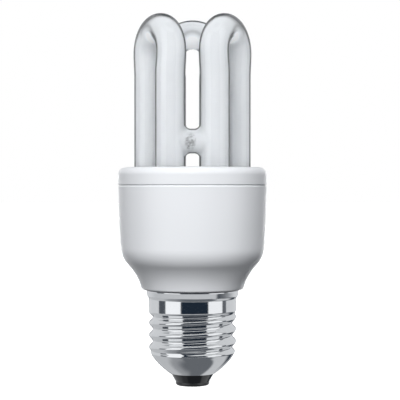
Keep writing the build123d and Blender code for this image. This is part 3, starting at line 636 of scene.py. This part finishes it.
def make_screw_shell_tree():
    """The rolled shell as a grid of angle by height, pushed out to its radius.

    Inputs are in metres. Between the cone and the band the section is a circle whose
    centre circles the axis once a pitch, and the throw eases in and out at both ends.
    """
    inputs = [(label, "NodeSocketFloat", 0.0) for label in (
        "Foot", "Cone", "Thread", "Band", "Head", "Foot Radius", "Cone Radius",
        "Crest Radius", "Rim Radius", "Lip Draft", "Lip Round", "Cone Bulge", "Pitch", "Depth",
        "Crest Height", "Runout")]
    inputs += [("Angle Steps", "NodeSocketInt", 140), ("Height Steps", "NodeSocketInt", 300),
               ("Material", "NodeSocketMaterial", None)]
    tree, given, out = new_tree("GeometryNodeTree", "rolled_screw_shell", inputs,
                                [("Geometry", "NodeSocketGeometry")])
    nodes, links = tree.nodes, tree.links
    size = given.outputs

    grid = nodes.new("GeometryNodeMeshGrid")
    grid.inputs["Size X"].default_value = 1
    grid.inputs["Size Y"].default_value = 1
    links.new(size["Angle Steps"], grid.inputs["Vertices X"])
    links.new(size["Height Steps"], grid.inputs["Vertices Y"])
    place = nodes.new("GeometryNodeInputPosition")
    split = nodes.new("ShaderNodeSeparateXYZ")
    links.new(place.outputs[0], split.inputs[0])

    def sums(operation, *values):
        return group_math(tree, operation, *values)

    # The angle and the height of each point, from its place in the unit grid
    turn = sums("MULTIPLY", sums("ADD", split.outputs["X"], 0.5), 2 * math.pi)
    share = sums("ADD", split.outputs["Y"], 0.5)
    height = sums("MULTIPLY_ADD", share, sums("SUBTRACT", size["Head"], size["Foot"]),
                  size["Foot"])
    thread_foot = sums("ADD", size["Foot"], size["Cone"])
    thread_head = sums("ADD", thread_foot, size["Thread"])
    band_head = sums("ADD", thread_head, size["Band"])

    def ease(value, low, high):
        return map_range(tree, value, low, high, smooth=True)

    # The thread's throw and its turn
    runout = sums("MULTIPLY", size["Runout"], size["Pitch"])
    rising = ease(height, thread_foot, sums("ADD", thread_foot, runout))
    falling = ease(height, thread_head, sums("SUBTRACT", thread_head, runout))
    throw = sums("MULTIPLY", sums("MULTIPLY", size["Depth"], 0.5),
                 sums("MULTIPLY", rising, falling))
    phase = sums("MULTIPLY", sums("DIVIDE", sums("SUBTRACT", height, size["Crest Height"]),
                                  size["Pitch"]), 2 * math.pi)
    phase = sums("ADD", phase, math.pi)
    wave = sums("COSINE", sums("SUBTRACT", turn, phase))

    # The cone, a straight line with a bulge that is full at half its height
    along_cone = sums("DIVIDE", sums("SUBTRACT", height, size["Foot"]), size["Cone"])
    cone = sums("MULTIPLY_ADD", along_cone,
                sums("SUBTRACT", size["Cone Radius"], size["Foot Radius"]), size["Foot Radius"])
    cone = sums("MULTIPLY_ADD", sums("MULTIPLY", sums("MULTIPLY", along_cone, 4), sums(
        "SUBTRACT", 1, along_cone)), size["Cone Bulge"], cone)
    # The threaded part, whose crests grow from the cone's head over the first run-out
    below = sums("MAXIMUM", sums("SUBTRACT", 1, sums(
        "DIVIDE", sums("SUBTRACT", height, thread_foot), runout)), 0)
    crest = sums("SUBTRACT", size["Crest Radius"], sums(
        "MULTIPLY", sums("MULTIPLY", below, below),
        sums("SUBTRACT", size["Crest Radius"], size["Cone Radius"])))
    thread = sums("ADD", sums("SUBTRACT", crest, throw), sums("MULTIPLY", throw, wave))
    # The band and the flared rim, whose lip narrows downwards and is round at its head
    flare_width = sums("SUBTRACT", size["Rim Radius"], size["Crest Radius"])
    flare = ease(height, band_head, sums("ADD", band_head, flare_width))
    lip_share = sums("DIVIDE", sums("SUBTRACT", size["Head"], height), sums(
        "SUBTRACT", size["Head"], band_head))
    lip_width = sums("SUBTRACT", flare_width, sums("MULTIPLY", lip_share, size["Lip Draft"]))
    rim = sums("MULTIPLY_ADD", flare, lip_width, size["Crest Radius"])
    edge = sums("DIVIDE", sums("SUBTRACT", height, sums(
        "SUBTRACT", size["Head"], size["Lip Round"])), size["Lip Round"])
    edge = sums("MAXIMUM", edge, 0)
    drop = sums("SUBTRACT", 1, sums("SQRT", sums("SUBTRACT", 1, sums("MULTIPLY", edge, edge))))
    rim = sums("SUBTRACT", rim, sums("MULTIPLY", drop, size["Lip Round"]))

    # The part of the profile that holds at each height
    def choose(test, low, high):
        """low where the test is 0, high where it is 1."""
        return sums("ADD", sums("MULTIPLY", sums("SUBTRACT", 1, test), low),
                    sums("MULTIPLY", test, high))

    radius = choose(sums("GREATER_THAN", height, thread_foot), cone, thread)
    radius = choose(sums("GREATER_THAN", height, thread_head), radius, rim)
    place_out = nodes.new("ShaderNodeCombineXYZ")
    links.new(sums("MULTIPLY", radius, sums("COSINE", turn)), place_out.inputs["X"])
    links.new(sums("MULTIPLY", radius, sums("SINE", turn)), place_out.inputs["Y"])
    links.new(height, place_out.inputs["Z"])
    push = nodes.new("GeometryNodeSetPosition")
    links.new(grid.outputs["Mesh"], push.inputs["Geometry"])
    links.new(place_out.outputs[0], push.inputs["Position"])
    close = nodes.new("GeometryNodeMergeByDistance")
    close.inputs["Distance"].default_value = 0.01 * MM
    links.new(push.outputs[0], close.inputs["Geometry"])
    end_tree(tree, close.outputs[0], given, out)
    return tree


def make_nickel():
    """Bright nickel with a fine grain that is drawn out round the shell."""
    own = settings("lamp_cap")
    material, tree, shader = new_material("nickel_shell")
    add_tone(tree, shader, own.metal, drift=0.08, roughness=own.roughness,
             roughness_drift=0.06, patch=160.0)
    add_grain(tree, shader, scale=900, distance=0.006 * MM, stretch=(1, 1, 5))
    shader.inputs["Metallic"].default_value = 1.0
    return material


class LAMP_OT_screw_shell(bpy.types.Operator):
    """Roll the nickel-plated screw shell with its round thread"""
    bl_idname = "lamp.screw_shell"
    bl_label = "Screw shell"

    def execute(self, context):
        own = settings("lamp_cap")
        shell = plain_mesh("rolled_shell", make_screw_shell_tree(), {
            "Foot": shell_low.z, "Cone": own.cone, "Thread": own.thread, "Band": own.band,
            "Head": shell_high.z, "Foot Radius": own.foot_radius,
            "Cone Radius": own.cone_radius, "Crest Radius": own.crest_radius,
            "Rim Radius": shell_high.x, "Lip Draft": own.lip_draft,
            "Lip Round": own.lip_round, "Cone Bulge": own.cone_bulge, "Pitch": own.pitch,
            "Depth": own.depth, "Crest Height": own.crest_height, "Runout": own.runout,
            "Material": make_nickel()})
        wall = shell.modifiers.new("wall", "SOLIDIFY")
        wall.thickness = own.wall
        wall.offset = -1
        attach(shell, "root")
        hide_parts("screw_shell")
        return {"FINISHED"}


class LAMP_OT_cap_foot(bpy.types.Operator):
    """Dress the black glass insulator, the centre contact and its solder"""
    bl_idname = "lamp.cap_foot"
    bl_label = "Insulator and contact"

    def execute(self, context):
        own = settings("lamp_cap")
        material, tree, shader = new_material("black_glass")
        add_tone(tree, shader, own.glass, drift=0.3, roughness=0.12, roughness_drift=0.1,
                 patch=400.0)
        add_grain(tree, shader, scale=500, distance=0.03 * MM)
        shader.inputs["IOR"].default_value = 1.7
        shader.inputs["Specular IOR Level"].default_value = 0.4
        shader.inputs["Coat Weight"].default_value = 0.15
        shader.inputs["Coat Roughness"].default_value = 0.05
        dress("cap_insulator", material)
        dress("centre_contact", make_finish(
            "contact_metal", (0.09, 0.09, 0.092), 0.42, 1.0, grain=(1200, 0.01 * MM)))
        dress("contact_solder", make_finish(
            "solder", (0.66, 0.67, 0.68), 0.32, 1.0, grain=(1500, 0.02 * MM)))
        return {"FINISHED"}


# What the housing hides

class LAMP_OT_inner_parts(bpy.types.Operator):
    """Dress the circuit board and every part that the housing hides"""
    bl_idname = "lamp.inner_parts"
    bl_label = "Inner parts"

    def execute(self, context):
        tinned = make_finish("tinned_wire", (0.72, 0.72, 0.70), 0.35, 1.0)
        ferrite = make_finish("ferrite", (0.035, 0.034, 0.036), 0.6, grain=(4000, 0.01 * MM))
        copper = make_finish("copper_wire", (0.55, 0.20, 0.08), 0.3, 1.0, patch=700.0)
        epoxy = make_finish("black_epoxy", (0.02, 0.02, 0.022), 0.5, grain=(6000, 0.005 * MM))
        film = make_finish("film_dip", (0.32, 0.06, 0.03), 0.25, coat=0.5)
        lacquer = make_finish("resistor_lacquer", (0.55, 0.42, 0.26), 0.4)
        wire = make_finish("wire_insulation", (0.70, 0.69, 0.66), 0.5)
        finishes = (
            (tinned, ("wire_posts", "electrode_wires", "choke_pins", "electrolytic_leads",
                      "diode_leads", "resistor_leads", "fuse_leads", "capacitor_leads",
                      "transistor_leads", "filter_choke_leads", "thermistor_leads")),
            (ferrite, ("choke_core_front", "choke_core_back", "ring_core",
                       "filter_choke_core")),
            (copper, ("choke_winding", "ring_windings", "filter_choke_winding")),
            (epoxy, ("diode_1", "diode_2", "diode_3", "diode_4", "transistor_left",
                     "transistor_right")),
            (film, ("resonance_capacitor", "coupling_capacitor", "filter_capacitor")),
            (lacquer, ("start_resistors", "base_resistors")),
            (wire, ("contact_wire", "shell_wire")),
            (bpy.data.materials["solder"], ("solder_joints",)),
            (make_finish("board", (0.36, 0.27, 0.12), 0.55, grain=(3000, 0.006 * MM)),
             ("circuit_board",)),
            (make_finish("bobbin_plastic", (0.05, 0.05, 0.055), 0.45), ("choke_bobbin",)),
            (make_finish("yellow_tape", (0.80, 0.58, 0.06), 0.3), ("choke_tape",)),
            (make_finish("can_sleeve", (0.03, 0.035, 0.05), 0.25), ("electrolytic_can",)),
            (make_finish("bung_rubber", (0.025, 0.024, 0.023), 0.8), ("electrolytic_bung",)),
            (make_finish("fuse_lacquer", (0.12, 0.28, 0.16), 0.45), ("fuse_resistor",)),
            (make_finish("thermistor_dip", (0.08, 0.22, 0.12), 0.4), ("thermistor",)),
        )
        for material, nodes in finishes:
            for node in nodes:
                dress(node, material)
        return {"FINISHED"}


# The studio

def place_light(name, turn, rise, reach, width, height, power):
    """An area light at an angle round the lamp (0 is the camera's side) and above it.

    It is hidden from the camera and from gloss, which shows the painted panels instead.
    """
    light = bpy.data.lights.new(name, "AREA")
    light.shape = "RECTANGLE"
    light.size = width
    light.size_y = height
    light.energy = power
    holder = bpy.data.objects.new(name, light)
    bpy.context.scene.collection.objects.link(holder)
    around, above = math.radians(turn), math.radians(rise)
    away = Vector((math.sin(around) * math.cos(above), -math.cos(around) * math.cos(above),
                   math.sin(above)))
    holder.location = LAMP_MIDDLE + reach * away
    holder.rotation_euler = (-away).to_track_quat("-Z", "Y").to_euler()
    holder.visible_camera = False
    holder.visible_glossy = False


def paint_panels(tree, turn, rise, grey, panels):
    """Lays panels over a grey room: from and to, round and up in degrees, soft edge, grey."""
    for left, right, low, high, soft, tone in panels:
        mask = group_math(tree, "MULTIPLY", between(tree, turn, left, right, soft),
                          between(tree, rise, low, high, soft))
        change = group_math(tree, "SUBTRACT", tone, grey)
        grey = group_math(tree, "MULTIPLY_ADD", mask, change, grey)
    return grey


def make_world():
    """White to the camera, a dim room for soft light, and painted panels for gloss to show."""
    world = bpy.data.worlds.new("studio")
    world.use_nodes = True
    tree = world.node_tree
    links = tree.links
    tree.nodes.clear()
    place = tree.nodes.new("ShaderNodeTexCoord")
    split = tree.nodes.new("ShaderNodeSeparateXYZ")
    links.new(place.outputs["Generated"], split.inputs[0])
    x, y, z = split.outputs
    turn = group_math(tree, "DEGREES", group_math(
        tree, "ARCTAN2", x, group_math(tree, "MULTIPLY", y, -1)))
    rise = group_math(tree, "DEGREES", group_math(tree, "ARCSINE", z))
    up = group_math(tree, "MULTIPLY_ADD", z, 0.5, 0.5)
    grey = paint_panels(tree, turn, rise, ramp_of(tree, up, ROOM_RAMP), STUDIO_PANELS)
    gloss = vector_math(tree, "MULTIPLY_ADD", grey, GLOSS_FACTOR, GLOSS_ADDED)
    soft = ramp_of(tree, up, SOFT_RAMP)
    shaders = []
    for colour in (soft, gloss.outputs[0], None):
        node = tree.nodes.new("ShaderNodeBackground")
        if colour is None:
            node.inputs["Color"].default_value = (1, 1, 1, 1)
        else:
            links.new(colour, node.inputs["Color"])
        shaders.append(node.outputs[0])
    path = tree.nodes.new("ShaderNodeLightPath")
    mixed = shaders[0]
    for ray, shader in (("Is Glossy Ray", shaders[1]), ("Is Camera Ray", shaders[2])):
        mix = tree.nodes.new("ShaderNodeMixShader")
        links.new(path.outputs[ray], mix.inputs["Fac"])
        links.new(mixed, mix.inputs[1])
        links.new(shader, mix.inputs[2])
        mixed = mix.outputs[0]
    out = tree.nodes.new("ShaderNodeOutputWorld")
    links.new(mixed, out.inputs["Surface"])
    bpy.context.scene.world = world


def make_floor():
    """A pale floor that glows to the camera alone and sends no light back to the lamp."""
    own = settings("lamp_studio")
    half = own.floor_size / 2
    mesh = bpy.data.meshes.new("floor")
    mesh.from_pydata([(-half, -half, 0), (half, -half, 0), (half, half, 0), (-half, half, 0)],
                     [], [(0, 1, 2, 3)])
    floor = bpy.data.objects.new("floor", mesh)
    bpy.context.scene.collection.objects.link(floor)
    material, tree, shader = new_material("pale_floor")
    tone = own.floor_tone
    shader.inputs["Base Color"].default_value = (tone, tone, tone, 1)
    shader.inputs["Roughness"].default_value = 0.6
    path = tree.nodes.new("ShaderNodeLightPath")
    tree.links.new(path.outputs["Is Camera Ray"], shader.inputs["Emission Strength"])
    shader.inputs["Emission Color"].default_value = (0.85, 0.85, 0.85, 1)
    mesh.materials.append(material)
    floor.visible_diffuse = False
    floor.visible_glossy = False


def make_camera():
    """Sets the camera level with the lamp, then turns it so that the lamp's axis and the
    horizon fall on their column and row of the image."""
    own = settings("lamp_studio")
    data = bpy.data.cameras.new("camera")
    data.sensor_width = SENSOR_WIDTH
    data.lens = SENSOR_WIDTH * own.focal_pixels / IMAGE_PIXELS
    data.clip_start = 0.01
    data.clip_end = 50
    camera = bpy.data.objects.new("camera", data)
    bpy.context.scene.collection.objects.link(camera)
    camera.location = (0, -own.distance, own.camera_height)
    down = math.atan((IMAGE_PIXELS / 2 - HORIZON_ROW) / own.focal_pixels)
    right = math.atan((IMAGE_PIXELS / 2 - AXIS_COLUMN) / own.focal_pixels)
    camera.rotation_euler = (math.pi / 2 - down, 0, -right)
    bpy.context.scene.camera = camera


class LAMP_OT_studio(bpy.types.Operator):
    """Set up the pale floor, the soft lights and the camera"""
    bl_idname = "lamp.studio"
    bl_label = "Studio"

    def execute(self, context):
        bpy.context.scene.view_settings.view_transform = "Standard"
        make_world()
        make_floor()
        make_camera()
        for light in LIGHTS:
            place_light(*light)
        return {"FINISHED"}


OPERATORS = (LAMP_OT_glass, LAMP_OT_mouldings, LAMP_OT_screw_shell, LAMP_OT_cap_foot,
             LAMP_OT_inner_parts, LAMP_OT_studio)
GROUPS = (("lamp_glass", LampGlassSettings), ("lamp_mouldings", LampMouldingSettings),
          ("lamp_cap", LampCapSettings), ("lamp_studio", LampStudioSettings))


class LAMP_PT_panel(bpy.types.Panel):
    """Sizes, colours and the steps that make the lamp"""
    bl_idname = "LAMP_PT_panel"
    bl_label = "Energy saving lamp"
    bl_space_type = "VIEW_3D"
    bl_region_type = "UI"
    bl_category = "Lamp"

    def draw(self, context):
        for name, group in GROUPS:
            box = self.layout.box()
            own = getattr(context.scene, name)
            for label in group.__annotations__:
                box.prop(own, label)
        for operator in OPERATORS:
            self.layout.operator(operator.bl_idname)


def register():
    for name, group in GROUPS:
        bpy.utils.register_class(group)
        setattr(bpy.types.Scene, name, bpy.props.PointerProperty(type=group))
    for operator in OPERATORS:
        bpy.utils.register_class(operator)
    bpy.utils.register_class(LAMP_PT_panel)


def unregister():
    bpy.utils.unregister_class(LAMP_PT_panel)
    for operator in reversed(OPERATORS):
        bpy.utils.unregister_class(operator)
    for name, group in reversed(GROUPS):
        delattr(bpy.types.Scene, name)
        bpy.utils.unregister_class(group)


def main():
    register()
    bpy.ops.lamp.glass()
    bpy.ops.lamp.mouldings()
    bpy.ops.lamp.screw_shell()
    bpy.ops.lamp.cap_foot()
    bpy.ops.lamp.inner_parts()
    bpy.ops.lamp.studio()


if __name__ == "__main__":
    main()
